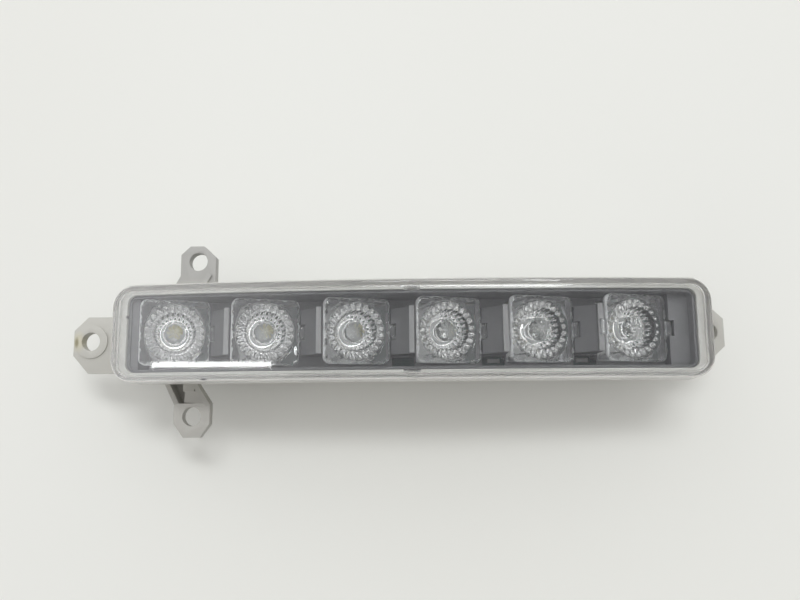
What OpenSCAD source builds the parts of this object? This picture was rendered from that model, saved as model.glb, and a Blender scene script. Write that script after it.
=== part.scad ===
// Daytime running light, lying on its back with the lens up.
// X runs along the lamp, Y across it and Z out through the lens. The origin lies on the flat
// rear of the connector block, under the middle of the lens. Sizes are in millimetres.

/* [Lens] */
// Length of the lens
lens_l = 195; // [185:1:210]
// Width of the lens
lens_w = 32.6; // [31.6:0.2:40]
// Corner radius of the lens outline
lens_corner_r = 7.5; // [5.5:0.5:12]
// How far the lens front falls from its crown to its ends
bow_rise = 6.1; // [3:0.1:6.6]
// Thickness of the lens front
lens_t = 2.2; // [1.6:0.1:2.8]
// Thickness of the lens wall
skirt_t = 2.2; // [1.8:0.1:2.6]
// Depth of the lens from its front to the weld line
lens_depth = 8.5; // [7.5:0.5:10]
// Radius round the front edge of the lens
lens_edge_r = 1.1; // [0.8:0.1:2.4]
// How far the lens wall leans in from the weld line to the front
lens_draft = 0.35; // [0.1:0.05:0.6]

/* [Housing] */
// Thickness of the rim's lip along the sides
lip_side_t = 1.1; // [0.8:0.1:1.4]
// Thickness of the rim's lip at the ends
lip_end_t = 2.4; // [1.5:0.1:3]
// How far the lip stays below the lens front
lip_drop = 3.6; // [3:0.2:6]
// Thickness of the flange under the lens wall
flange_t = 2.4; // [1.8:0.2:3.5]
// Thickness of the housing's side walls below the shelf
wall_t = 2.4; // [1.8:0.1:2.8]
// Thickness of the housing's rear wall
floor_t = 2.5; // [1.8:0.1:3]
// Thickness of the stiffening ribs
rib_t = 1.6; // [1.2:0.1:2.2]
// Height of the shallow ribs on the rear wall
rib_h = 5; // [2:0.5:8]

/* [Ears] */
// Diameter of the fixing holes
hole_d = 6.5; // [5:0.1:7]
// Distance of the upper and lower holes beyond the sides of the lens
side_hole_out = 10.7; // [9.5:0.1:16]
// Distance of the upper and lower holes from the left end of the lens
side_hole_in = 22.7; // [18:0.1:40]
// Distance from the lower hole to the upper one along the lamp
side_hole_shift = 0.6; // [0:0.1:2]
// Distance of the left hole beyond the end of the lens
left_hole_out = 13.8; // [11:0.1:18]
// Distance of the right hole beyond the end of the lens
right_hole_out = 3.5; // [3.3:0.1:8]
// Width of material round a fixing hole
ear_edge = 2.95; // [2.4:0.05:4]
// Depth of the ears' front faces below the lens crown
ear_drop = 23; // [21:0.5:25]
// Thickness of the ears
ear_t = 3.6; // [2.5:0.1:4.5]
// Width of the raised seat round the left hole
seat_w = 2.6; // [2:0.1:4]
// Height of the raised seat on each face of the left ear
seat_h = 0.5; // [0.2:0.1:1]

/* [Optics] */
// Number of light sources
sources = 6; // [6:6]
// Room left over at the two ends of the row of light sources
row_room = 3.1; // [2:0.1:10]
// How far the row stands left of the lamp's middle
row_shift = 1.6; // [1.2:0.1:2.4]
// How far the row stands above the lamp's middle line
row_y = 0.6; // [0:0.1:0.8]
// Lean of the collimators towards the lamp's right end
tilt = 20; // [18:0.5:21]
// Space along the row from one front plate to the next, before the lean
optic_space = 7.9; // [7.4:0.1:10]
// Clearance between a front plate and the side of the bezel
optic_gap = 0.2; // [0.1:0.05:0.5]
// Height of a collimator from its foot to its front
optic_h = 12.3; // [12:0.1:12.6]
// Thickness of a collimator's front plate
optic_t = 2; // [1.4:0.1:2.4]
// Width of the front plate outside the bowl
bowl_edge = 1.1; // [0.8:0.1:2]
// Radius of a collimator's bowl at the light source
bowl_foot_r = 4.2; // [3.6:0.1:5]
// Number of facets round the bowl
bowl_facets = 24; // [16:2:28]
// Depth of the middle of a collimator's front below the lens crown
optic_drop = 12.2; // [12.1:0.1:16]
// Height of a collimator's foot above its light-source board
foot_gap = 1.7; // [1.5:0.1:2]

/* [Bezel] */
// Wall thickness of the bezel tray
bezel_t = 0.9; // [0.7:0.05:1]
// Thickness of the bezel's floor
bezel_floor_t = 1.5; // [1:0.1:2]
// Clearance between the bezel's floor and the light-source boards
bezel_gap = 0.7; // [0.5:0.1:1.5]
// Space between a ramp and the side of the bezel
bridge_gap = 3.5; // [3:0.1:5]
// Width of the upright bar beside a collimator
bar_w = 1.7; // [1.4:0.1:2.2]

/* [Circuit board] */
// Clearance between the circuit board and the walls of the tub
board_gap = 0.8; // [0.5:0.1:1.2]
// Thickness of the circuit board
board_t = 1.6; // [1:0.1:2]
// Thickness of the insulating pad under the board
pad_t = 0.3; // [0.2:0.1:0.5]
// Thickness of the heat sink's base
sink_t = 1.8; // [1.5:0.1:2]
// How much shorter a light source's board is than the front plate over it
led_board_inset = 4.3; // [4:0.1:5]
// Thickness of a light source's own board
led_board_t = 1.2; // [1:0.1:1.5]
// Room between the circuit board and the light-source boards
board_room = 1; // [0.6:0.1:3]
// Diameter of the board screws
screw_d = 2.9; // [2.5:0.1:3.2]
// Length of the board screws under the head
shank_l = 8.4; // [7.5:0.1:10]

/* [Connector] */
// Width of the connector socket inside
socket_w = 17.4; // [15:0.2:19]
// Height of the connector socket inside
socket_h = 9.4; // [9:0.1:9.6]
// Depth of the connector socket
socket_depth = 18; // [15:0.5:20]
// Wall thickness of the connector socket
socket_t = 1.5; // [1.2:0.1:2]
// How far the socket is sunk into the rear wall
socket_sink = 0.4; // [0.2:0.1:0.8]
// Number of terminals
terminals = 3; // [2:3]
// Distance between terminals
terminal_pitch = 4.4; // [4:0.1:5]
// Width of a terminal blade
blade_w = 1.6; // [1.2:0.1:2]
// Thickness of a terminal blade
blade_t = 0.8; // [0.6:0.1:1]

/* [Hidden] */

eps = 0.01;            // overlap that joins the pieces of one moulding
weld_gap = 0.05;       // space left at the weld line
slip = 0.15;           // clearance round a piece that drops in
inner_draft = 0.1;     // how far the inside of the lens wall leans in
bow_fn = 720;          // sides of the large bow cylinders
round_fn = 48;         // sides of ordinary round shapes

// Half sizes of the plan outlines, from the outside in
lens_hl = lens_l / 2;
bow_r = (pow(lens_hl, 2) + pow(bow_rise, 2)) / (2 * bow_rise);   // radius of the bowed front
lens_hw = lens_w / 2;
lens_in_hl = lens_hl - skirt_t;
lens_in_hw = lens_hw - skirt_t;
lip_hl = lens_in_hl - slip;
lip_hw = lens_in_hw - slip;
open_hl = lip_hl - lip_end_t;
open_hw = lip_hw - lip_side_t;
open_r = 3;
lip_r = open_r + lip_side_t;
lens_in_r = lip_r + slip;

// Bezel outlines
bezel_hl = open_hl - slip;
bezel_hw = open_hw - slip;
bezel_r = open_r - slip;
tray_hl = bezel_hl - bezel_t;
tray_hw = bezel_hw - bezel_t;
tray_r = bezel_r - bezel_t;

// The row of light sources
pitch = (2 * open_hl - row_room) / sources;
row_x = -row_shift;
optic_l = pitch - optic_space;
optic_w = 2 * (tray_hw - row_y - optic_gap);
bowl_r = min(optic_l, optic_w) / 2 - bowl_edge;
led_board_l = optic_l - 2 * led_board_inset;
led_board_w = optic_w - 2;
led_drop = optic_h + foot_gap;   // from a collimator's front to its board, along its lean

// Levels, stacked up from the rear face
rear_z = socket_h + 2 * socket_t - socket_sink;
floor_z = rear_z + floor_t;
sink_z = floor_z + sink_t;
pad_z = sink_z + pad_t;
board_z = pad_z + board_t;
plate_z = board_z + board_room + led_board_l / 2 * sin(tilt) + (led_drop + led_board_t) * cos(tilt);
lamp_h = plate_z + optic_drop;
shelf_z = lean_z(-led_board_l / 2, -led_drop) + bezel_gap;
bezel_z = shelf_z + bezel_floor_t;
ear_z = lamp_h - ear_drop;
weld_drop = lens_depth;

// The cavity below the shelf, and the body round it
shelf_w = 0.85;
well_hl = open_hl - shelf_w;
well_hw = open_hw - shelf_w;
well_r = 2.5;
body_hl = well_hl + wall_t + 0.8;
body_hw = well_hw + wall_t;
body_r = 6;

bezel_rim_drop = lip_drop + 1.2;
bar_gap = 0.25;
bridge_w = 2 * (tray_hw - row_y - bridge_gap);

// Collimator details, measured in its own leaning frame
bowl_rows = 4;
optic_corner_r = 2.4;
dimple_r = 6.6;        // recess in the front of the collimator
dimple_depth = 2.6;
dome_r = 3.9;          // raised lens in the middle of the recess
dome_rise = 2;
source_well_r = 2.6;   // hollow over the light source
source_well_depth = 4.6;
tab_w = 5;             // locating tabs on the sides of the front plate
tab_left = 1.4;
tab_right = 2;
leg_r = 1;
leg_x = led_board_l / 2 - 1.6;
leg_y = led_board_w / 2 - 1.4;
peg_r = 0.7;
peg_l = 1;

// Light source
led_w = 3.45;
led_base_t = 0.8;
led_dome_r = 1.3;

// Wedges behind the light sources
wedge_hw = led_board_w / 2 - 2;
glue_t = 0.1;
cut_gap = 0.4;
wedge_bottom = -led_drop - led_board_t - glue_t;
wedge_x0 = lean_x(-led_board_l / 2, wedge_bottom);
wedge_x1 = lean_x(led_board_l / 2, wedge_bottom);
gap_mid = (wedge_x1 + pitch + wedge_x0) / 2;   // middle of the space right of a wedge

// Circuit board, heat sink and screws
board_hl = well_hl - board_gap;
board_hw = well_hw - board_gap;
sink_gap = board_gap - 0.3;
screw_xs = [source_x(0) + gap_mid, source_x(sources - 2) + gap_mid];
screw_in = 3.8;        // screws stand this far in from the board's long edges
screw_ys = [screw_in - board_hw, board_hw - screw_in];
screw_head_d = 1.85 * screw_d;
screw_head_t = 0.55 * screw_d;
boss_wall = 1.65;
pilot_gap = 0.1;
boss_d = screw_d + 2 * pilot_gap + 2 * boss_wall;
pilot_z = board_z - shank_l - 2 * pilot_gap;
boss_z = pilot_z - 1.4;

// Connector block
socket_z = socket_t;
block_hw = socket_w / 2 + socket_t;
blade_x = source_x(2) + gap_mid;
blade_run = 11;        // from the blades' bends to the socket's floor
blade_reach = 10;      // bare length of the blades in the socket
block_back = 6;        // wall behind the blades
frame_l = 23;          // length of the deep ribs behind the connector
plug_room = 32;        // room in front of the socket for its plug
weld_peg_d = 3;        // pegs that fix the connector to the rear wall
weld_peg_l = 1.5;
socket_floor_x = blade_x + blade_run;
mouth_x = socket_floor_x + socket_depth;
block_x = blade_x - block_back;
frame_x = block_x - frame_l;
blade_z = socket_z + socket_h / 2;
blade_tip_x = socket_floor_x + blade_reach;
weld_pegs = [[block_x + block_back / 2, 0], [mouth_x - 5, 3 - block_hw], [mouth_x - 5, block_hw - 3]];
notch_x = 1.5;         // place of the two locating notches in the rim
notch_w = 5.4;
notch_key_w = 3;

function source_x(i) = row_x + (i - (sources - 1) / 2) * pitch;
function lean_x(x, z) = x * cos(tilt) + z * sin(tilt);
function lean_z(x, z) = plate_z - x * sin(tilt) + z * cos(tilt);
function terminal_y(i) = (i - (terminals - 1) / 2) * terminal_pitch;

// Height of the bowed surface that lies d below the lens front, at x
function bow_z(x, d) = lamp_h - bow_r + sqrt(pow(bow_r - d, 2) - x * x);

// Puts its children in a collimator's leaning frame, with the origin on the front's middle
module at_source(i) {
  translate([source_x(i), row_y, plate_z]) rotate([0, tilt, 0]) children();
}

// Rounded rectangle as plain squares and circles, so that its corners stay true arcs
module round_rect(hl, hw, r) {
  square([2 * (hl - r), 2 * hw], center = true);
  square([2 * hl, 2 * (hw - r)], center = true);
  for (sx = [-1, 1], sy = [-1, 1])
    translate([sx * (hl - r), sy * (hw - r)]) circle(r, $fn = round_fn);
}

// Upright prism on a rounded rectangle, from z0 to z1
module slab(hl, hw, r, z0, z1) {
  translate([0, 0, z0]) linear_extrude(z1 - z0) round_rect(hl, hw, r);
}

// Everything that lies more than d below the bowed lens front
module bow(d) {
  translate([0, 0, lamp_h - bow_r])
    rotate([90, 0, 0]) cylinder(r = bow_r - d, h = 4 * lens_w, center = true, $fn = bow_fn);
}

// Box from one corner to another
module block(low, high) {
  translate(low) cube(high - low);
}

// Stations along half a rounded rectangle's outline, shared by every ring of the lens
lens_corner_n = 7;
lens_side_n = 24;

// One ring of the lens: a rounded rectangle laid on the bowed surface d below the front
function ring(hl, hw, r, d) = [
  for (k = [0:3]) each concat(
    [for (i = [0:lens_corner_n])
      let (a = 90 * (k + i / lens_corner_n),
           sx = (k == 0 || k == 3) ? 1 : -1,
           sy = (k < 2) ? 1 : -1,
           x = sx * (hl - r) + r * cos(a),
           y = sy * (hw - r) + r * sin(a))
      [x, y, bow_z(x, d)]],
    (k == 0 || k == 2)
      ? [for (i = [1:lens_side_n - 1])
          let (s = (k == 0) ? 1 : -1,
               x = s * (hl - r) * (1 - 2 * i / lens_side_n))
          [x, s * hw, bow_z(x, d)]]
      : [])
];

// Closed skin over a list of rings that starts and ends in a flat-spanned cap
module ring_loft(rings) {
  m = len(rings[0]);
  n = len(rings);
  half = m / 2;
  polyhedron(
    points = [for (r = rings) each r],
    faces = concat(
      [for (i = [0:n - 2], j = [0:m - 1])
        let (a = i * m + j, b = i * m + (j + 1) % m)
        each [[a, b, a + m], [b, b + m, a + m]]],
      [for (j = [0:half - 2]) each [[j, m - 1 - j, j + 1], [j + 1, m - 1 - j, m - 2 - j]]],
      [for (j = [0:half - 2])
        let (o = (n - 1) * m)
        each [[o + j, o + j + 1, o + m - 1 - j], [o + j + 1, o + m - 2 - j, o + m - 1 - j]]]));
}

// Clear lens: a bowed tub with a rounded front edge and two keys that locate it on the rim
module outer_lens() {
  edge_steps = 5;
  in_edge_r = max(lens_edge_r - 1, 0.3);
  in_steps = 3;
  inner = concat(
    [for (i = [in_steps:-1:0])
      let (a = 90 * i / in_steps,
           inset = inner_draft + in_edge_r * (1 - cos(a)),
           d = lens_t + in_edge_r * (1 - sin(a)))
      ring(lens_in_hl - inset, lens_in_hw - inset, lens_in_r - inset / 2, d)],
    [ring(lens_in_hl, lens_in_hw, lens_in_r, lens_depth)]);
  outer = concat(
    [ring(lens_hl, lens_hw, lens_corner_r, lens_depth)],
    [for (i = [0:edge_steps])
      let (a = 90 * i / edge_steps,
           inset = lens_draft + lens_edge_r * (1 - cos(a)),
           d = lens_edge_r * (1 - sin(a)))
      ring(lens_hl - inset, lens_hw - inset, lens_corner_r - inset / 2, d)]);
  color([0.92, 0.94, 0.95, 0.3]) union() {
    ring_loft(concat(inner, outer));
    for (s = [-1, 1])
      intersection() {
        translate([notch_x, s * (lens_in_hw - lip_side_t / 2 + 0.2), lamp_h - lip_drop - 1.5])
          cube([notch_key_w, lip_side_t + 0.4, 4], center = true);
        bow(lens_t - 0.3);
      }
  }
}

// Ring wall between two plan outlines
module lip() {
  intersection() {
    difference() {
      slab(lip_hl, lip_hw, lip_r, bezel_z, lamp_h);
      for (s = [-1, 1])
        translate([notch_x, s * lip_hw, lamp_h - lip_drop])
          cube([notch_w, 3 * lip_side_t, 9], center = true);
    }
    bow(lip_drop);
  }
}

// Flange that the lens wall is welded to, bowed like the lens
module flange() {
  intersection() {
    slab(lens_hl, lens_hw, lens_corner_r, rear_z, lamp_h);
    difference() {
      bow(weld_drop + weld_gap);
      bow(weld_drop + weld_gap + flange_t);
    }
  }
}

// Outer body of the housing, still solid
module body() {
  intersection() {
    slab(body_hl, body_hw, body_r, rear_z, lamp_h);
    bow(weld_drop + weld_gap);
  }
}

// Flat plate with a given outline, its front face at z
module plate(points, z, t) {
  translate([0, 0, z - t]) linear_extrude(t) polygon(points);
}

// Straight rib of the ears between two plan points, from z0 to z1
module rib(from, to, z0, z1) {
  run = to - from;
  translate([from.x, from.y, z0])
    rotate([0, 0, atan2(run.y, run.x)])
      translate([0, -rib_t / 2, 0]) cube([norm(run), rib_t, z1 - z0]);
}

// Upright gusset under an ear, in the XZ plane, tapering away from the body
module end_gusset(x_body, x_tip, y) {
  translate([0, y + rib_t / 2, 0]) rotate([90, 0, 0]) linear_extrude(rib_t)
    polygon([[x_body, rear_z], [x_tip, ear_z - ear_t - 1.2], [x_tip, ear_z - ear_t + eps], [x_body, ear_z - ear_t + eps]]);
}

// Places of the fixing holes
side_hole_x = side_hole_in - lens_hl;
upper_hole_x = side_hole_x + side_hole_shift;
hole_y = lens_hw + side_hole_out;
left_hole_x = -lens_hl - left_hole_out;
left_hole_y = -0.9;
right_hole_x = lens_hl + right_hole_out;
ear_r = hole_d / 2 + ear_edge;   // half width of an ear

upper_ear = [
  [upper_hole_x - ear_r, body_hw - 1], [upper_hole_x - ear_r, hole_y + 0.42 * ear_r],
  [upper_hole_x - 0.48 * ear_r, hole_y + 0.9 * ear_r], [upper_hole_x + 0.3 * ear_r, hole_y + 0.9 * ear_r],
  [upper_hole_x + ear_r, hole_y + 0.23 * ear_r], [upper_hole_x + ear_r, body_hw - 1]
];
lower_ear = [
  [side_hole_x - ear_r, 0.72 * ear_r - hole_y], [side_hole_x - ear_r, -0.39 * ear_r - hole_y],
  [side_hole_x - 0.44 * ear_r, -1.15 * ear_r - hole_y], [side_hole_x + 0.47 * ear_r, -1.15 * ear_r - hole_y],
  [side_hole_x + ear_r, -0.42 * ear_r - hole_y], [side_hole_x + ear_r, 0.72 * ear_r - hole_y]
];
left_ear = [
  [1 - body_hl, left_hole_y + 1.39 * ear_r], [left_hole_x - 0.23 * ear_r, left_hole_y + 1.39 * ear_r],
  [left_hole_x - ear_r, left_hole_y + 0.63 * ear_r], [left_hole_x - ear_r, left_hole_y - 0.78 * ear_r],
  [left_hole_x - 0.11 * ear_r, left_hole_y - 1.79 * ear_r], [1 - body_hl, left_hole_y - 1.79 * ear_r]
];
right_ear = [
  [body_hl - 1, 1.58 * ear_r], [right_hole_x, 1.58 * ear_r], [right_hole_x + 0.87 * ear_r, 0.73 * ear_r],
  [right_hole_x + 0.87 * ear_r, -0.76 * ear_r], [right_hole_x, -1.58 * ear_r], [body_hl - 1, -1.58 * ear_r]
];

rib_in = hole_d / 2 + 0.7;       // ribs stop this far from a hole's middle
arm_deep = 8;                    // depth of the ribs under the upper and lower ears

// Straight upper arm with a diagonal brace beside it
module upper_arm() {
  wing = [upper_hole_x - ear_r - 4.1, body_hw - 1];
  wing_tip = [upper_hole_x - ear_r + rib_t / 2, hole_y - 0.8 * ear_r];
  plate(upper_ear, ear_z, ear_t);
  rib(wing, wing_tip, ear_z - arm_deep, ear_z - 0.4);
  rib([upper_hole_x + 0.3 * ear_r, body_hw - 1], [upper_hole_x + 0.3 * ear_r, hole_y - rib_in],
      ear_z - arm_deep, ear_z - ear_t + 0.3);
  rib([upper_hole_x - 1, body_hw - 1], [upper_hole_x + 0.7 * ear_r, hole_y - 0.75 * ear_r], ear_z - 0.3, ear_z + 1);
  plate([wing, wing_tip - [0, 0.5], [upper_hole_x - ear_r + rib_t, body_hw - 1]], ear_z - 3, 1.6);
}

// Lower arm: two slanted ribs with a deep web between them
module lower_arm() {
  foot_l = [side_hole_x - ear_r - 4, 1 - body_hw];
  foot_r = [side_hole_x - 1.1, 1 - body_hw];
  tip_l = [side_hole_x - ear_r + rib_t / 2, rib_in - hole_y];
  tip_r = [side_hole_x + ear_r - rib_t / 2, rib_in - hole_y];
  pocket_x = side_hole_x - 2.6;
  plate(lower_ear, ear_z, ear_t);
  rib(foot_l, tip_l, ear_z - arm_deep, ear_z - 0.3);
  rib(foot_r, tip_r, ear_z - ear_t - 0.9, ear_z + 0.25);
  plate([[pocket_x, 1.3 - body_hw], [pocket_x, -body_hw - 3.4], tip_l + [2.4, 0.9], tip_r + [0, 0.2], foot_r + [0, 0.3]],
        ear_z - 0.5, ear_t - 1);
  plate([foot_l, tip_l + [0, 0.4], tip_r + [-2.5, 0.4], foot_r - [2, 0]], ear_z - arm_deep + 1.7, 1.5);
  rib([side_hole_x - 1.5, 1.1 - body_hw], [side_hole_x - 1.5, rib_in - hole_y + 0.2], ear_z - arm_deep - 0.3, ear_z - 2);
  block([side_hole_x - 3.2, -body_hw - 4, ear_z - 3], [side_hole_x + 0.7, 1.2 - body_hw, ear_z + 0.3]);
}

// Ears at the two ends, with gussets behind them
module end_ears() {
  left_z = ear_z - 0.4;
  left_t = ear_t - 0.6;
  plate(left_ear, left_z, left_t);
  translate([left_hole_x, left_hole_y, left_z - left_t - seat_h])
    cylinder(d = hole_d + 2 * seat_w, h = left_t + 2 * seat_h, $fn = round_fn);
  for (s = [-1, 1]) end_gusset(1 - body_hl, left_hole_x + 1, left_hole_y - 0.2 * ear_r + s * (1.59 * ear_r - rib_t));
  plate(right_ear, ear_z, ear_t);
  for (s = [-1, 1]) end_gusset(body_hl - 1, right_hole_x - 0.5, s * (1.58 * ear_r - 1.2 * rib_t));
}

// Round fixing hole with its axis on z
module ear_hole(x, y) {
  translate([x, y, rear_z]) cylinder(d = hole_d, h = ear_z + 2 - rear_z, $fn = round_fn);
}

// Ribs on the rear wall: shallow ones all along, deep ones beside the connector block
module rear_ribs() {
  long_y = body_hw - 4.4;
  for (y = [-long_y, long_y])
    block([-body_hl + 6, y - rib_t / 2, rear_z - rib_h], [body_hl - 6, y + rib_t / 2, rear_z + eps]);
  for (i = [0:sources])
    let (x = source_x(i - 0.5))
    block([x - rib_t / 2, -long_y, rear_z - rib_h], [x + rib_t / 2, long_y, rear_z + eps]);
  for (s = [-1, 1])
    block([frame_x, s * (block_hw - rib_t / 2) - rib_t / 2, 0], [block_x + 1, s * (block_hw - rib_t / 2) + rib_t / 2, rear_z + eps]);
  for (x = [frame_x, (frame_x + block_x) / 2])
    block([x, -block_hw, 0], [x + rib_t, block_hw, rear_z + eps]);
}

// Connector moulding: an open socket with a latch ramp and two keys, welded to the rear wall by three pegs
module connector_shell() {
  latch_x = mouth_x - 6.5;
  color([0.74, 0.74, 0.71]) difference() {
    union() {
      block([block_x, -block_hw, 0], [mouth_x, block_hw, rear_z]);
      for (p = weld_pegs)
        translate([p.x, p.y, rear_z - 1]) cylinder(d = weld_peg_d, h = weld_peg_l + 1, $fn = round_fn);
      translate([latch_x, block_hw, rear_z / 2]) linear_extrude(5, center = true)
        polygon([[0, -0.4], [4.5, -0.4], [4.5, 0], [1.2, 1.6], [0, 1.6]]);
      for (s = [-1, 1])
        block([mouth_x - 12, -block_hw - 1.2, rear_z / 2 + s * 3.4 - 0.6],
              [mouth_x - 1, 0.4 - block_hw, rear_z / 2 + s * 3.4 + 0.6]);
    }
    block([socket_floor_x, -socket_w / 2, socket_z], [mouth_x + 1, socket_w / 2, socket_z + socket_h]);
    for (s = [-1, 1])
      block([block_x + 3, s * block_hw * 0.72 - 1.3, -1], [socket_floor_x - 2, s * block_hw * 0.72 + 1.3, rear_z - 2]);
    for (i = [0:terminals - 1]) terminal_slot(terminal_y(i));
  }
}

// Breather seat on the rear wall: a guard ring round a fine hole
vent_x = source_x(5);
vent_d = 9;
vent_hole_d = 2.4;
membrane_t = 0.4;
module vent_guard() {
  guard_t = 1.4;
  difference() {
    translate([vent_x, 0, rear_z - rib_h]) cylinder(d = vent_d + 1 + 2 * guard_t, h = rib_h + eps, $fn = round_fn);
    translate([vent_x, 0, rear_z - rib_h - 1]) cylinder(d = vent_d + 1, h = rib_h + 1, $fn = round_fn);
    for (a = [0, 90])
      translate([vent_x, 0, rear_z - rib_h]) rotate([0, 0, a + 45]) cube([2 * vent_d, 2, 4], center = true);
  }
}

// Blind bosses on the rear wall, which take the board screws
module screw_bosses() {
  for (x = screw_xs, y = screw_ys)
    translate([x, y, boss_z]) cylinder(d = boss_d, h = rear_z - boss_z + eps, $fn = round_fn);
}

// Hole through the moulding that a terminal fills
module terminal_slot(y) {
  g = 0.05;
  block([blade_x - blade_t / 2 - g, y - blade_w / 2 - g, blade_z - blade_t / 2 - g],
        [blade_x + blade_t / 2 + g, y + blade_w / 2 + g, floor_z + 1]);
  block([blade_x - blade_t / 2 - g, y - blade_w / 2 - g, blade_z - blade_t / 2 - g],
        [socket_floor_x + 1, y + blade_w / 2 + g, blade_z + blade_t / 2 + g]);
}

// Light-grey moulding that carries everything: rim, body, ears and ribs
module housing() {
  color([0.74, 0.74, 0.71]) difference() {
    union() {
      difference() {
        union() {
          body();
          flange();
          lip();
          upper_arm();
          lower_arm();
          end_ears();
          difference() {
            rear_ribs();
            block([block_x - slip, -block_hw - 2, -1], [mouth_x + plug_room, block_hw + 2, rear_z]);
          }
          screw_bosses();
        }
        slab(open_hl, open_hw, open_r, shelf_z, lamp_h + 1);
        slab(well_hl, well_hw, well_r, floor_z, shelf_z + 1);
        translate([vent_x, 0, 0]) cylinder(d = vent_d + 1, h = rear_z, $fn = round_fn);
      }
      vent_guard();
    }
    ear_hole(upper_hole_x, hole_y);
    ear_hole(side_hole_x, -hole_y);
    ear_hole(left_hole_x, left_hole_y);
    ear_hole(right_hole_x, 0);
    translate([vent_x, 0, 0]) cylinder(d = vent_hole_d, h = lamp_h / 2, $fn = round_fn);
    for (x = screw_xs, y = screw_ys)
      translate([x, y, pilot_z]) cylinder(d = screw_d + 2 * pilot_gap, h = shank_l, $fn = round_fn);
    for (i = [0:terminals - 1]) terminal_slot(terminal_y(i));
    for (p = weld_pegs)
      translate([p.x, p.y, rear_z - 1])
        cylinder(d = weld_peg_d + 2 * pilot_gap, h = weld_peg_l + 1 + pilot_gap, $fn = round_fn);
  }
}

// Places along the lamp that the bezel takes from the collimators, right of a source
plate_left = lean_x(-optic_l / 2, -optic_t);
plate_right = lean_x(optic_l / 2, 0);
window_left = plate_left - 0.15;
window_right = plate_right - 2;
bar_x1 = pitch + plate_left - bar_gap;
bar_x0 = bar_x1 - bar_w;
bar_top = lean_z(-optic_l / 2, 0) - 0.4;
ramp_x0 = plate_right + 0.4;
ramp_z = lean_z(optic_l / 2, 0) - 0.6;

// Ramp and upright bar between two collimators, hollow underneath
module ramp_and_bar(i) {
  translate([source_x(i), row_y, 0]) rotate([90, 0, 0]) difference() {
    linear_extrude(bridge_w, center = true)
      polygon([[ramp_x0, shelf_z + eps], [ramp_x0, ramp_z], [bar_x0, bar_top - 2.2], [bar_x0, bar_top],
               [bar_x1, bar_top], [bar_x1, shelf_z + eps]]);
    linear_extrude(bridge_w - 2.4, center = true)
      polygon([[ramp_x0 + 1.2, shelf_z - 1], [ramp_x0 + 1.2, ramp_z - 0.9], [bar_x1 - 1.2, bar_top - 3.6],
               [bar_x1 - 1.2, shelf_z - 1]]);
  }
}

// Dark-grey tray inside the lamp: walls, floor, ramps, upright bars and a flat end panel
module inner_bezel() {
  panel_x = source_x(sources - 1) + plate_right + 0.4;
  left_x = source_x(0) + plate_left - 0.4;
  left_z = lean_z(-optic_l / 2, -optic_t) - 1;
  panel_z = bezel_z + 5.8;
  color([0.36, 0.36, 0.37]) difference() {
    union() {
      difference() {
        intersection() {
          slab(bezel_hl, bezel_hw, bezel_r, shelf_z, lamp_h);
          bow(bezel_rim_drop);
        }
        slab(tray_hl, tray_hw, tray_r, bezel_z, lamp_h);
      }
      intersection() {
        slab(bezel_hl, bezel_hw, bezel_r, shelf_z, panel_z);
        block([panel_x, -lens_w, shelf_z], [lens_l, lens_w, panel_z]);
      }
      intersection() {
        slab(bezel_hl, bezel_hw, bezel_r, shelf_z, left_z);
        block([-lens_l, -lens_w, shelf_z], [left_x, lens_w, left_z]);
      }
      for (i = [0:sources - 2]) ramp_and_bar(i);
    }
    for (i = [0:sources - 1])
      translate([source_x(i), row_y, 0]) {
        block([window_left, 0.8 - optic_w / 2, shelf_z - 1], [window_right, optic_w / 2 - 0.8, bezel_z + 1]);
        if (i == sources - 1)
          block([lean_x(-optic_l / 2 - tab_left, -optic_t) - slip, -tab_w / 2 - slip, lean_z(-optic_l / 2, -optic_t) - slip],
                [0, tab_w / 2 + slip, lamp_h]);
        block([0, -tab_w / 2 - slip, lean_z(optic_l / 2 + tab_right, -optic_t) - slip],
              [lean_x(optic_l / 2 + tab_right, 0) + slip, tab_w / 2 + slip, lamp_h]);
      }
    for (i = [2:sources - 2])
      block([source_x(i) + plate_right + 0.3, -tray_hw + 0.9, shelf_z - 1],
            [source_x(i) + bar_x1 - 0.4, row_y - bridge_w / 2 - 0.5, bezel_z + 1]);
    block([panel_x + 1.2, -tray_hw + 0.6, shelf_z - 1], [tray_hl - 0.6, tray_hw - 0.6, panel_z - 1.4]);
  }
}

// Outline of a collimator's front plate with its locating tab. The last one has a tab on both sides
module optic_plan(i) {
  left = (i == sources - 1) ? tab_left : -1;
  round_rect(optic_l / 2, optic_w / 2, optic_corner_r);
  translate([-optic_l / 2 - left, -tab_w / 2]) square([optic_l + left + tab_right, tab_w]);
}

// Faceted bowl: rings on a paraboloid, each turned half a facet from the last
module facet_bowl() {
  rows = bowl_rows;
  n = bowl_facets;
  top = 0.5 - optic_t;
  points = [
    for (i = [0:rows])
      let (t = i / rows, r = sqrt(pow(bowl_foot_r, 2) + (pow(bowl_r, 2) - pow(bowl_foot_r, 2)) * t))
      for (j = [0:n - 1])
        let (a = 360 * (j + (i % 2) / 2) / n)
        [r * cos(a), r * sin(a), -optic_h + (top + optic_h) * t]
  ];
  faces = concat(
    [[for (j = [0:n - 1]) j]],
    [for (i = [0:rows - 1], j = [0:n - 1])
      let (a = i * n + j, b = i * n + (j + 1) % n, shift = i % 2,
           c = (i + 1) * n + (j + shift) % n, p = (i + 1) * n + (j + shift + n - 1) % n)
      each [[a, p, c], [a, c, b]]],
    [[for (j = [n - 1:-1:0]) rows * n + j]]);
  polyhedron(points = points, faces = faces);
}

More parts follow.
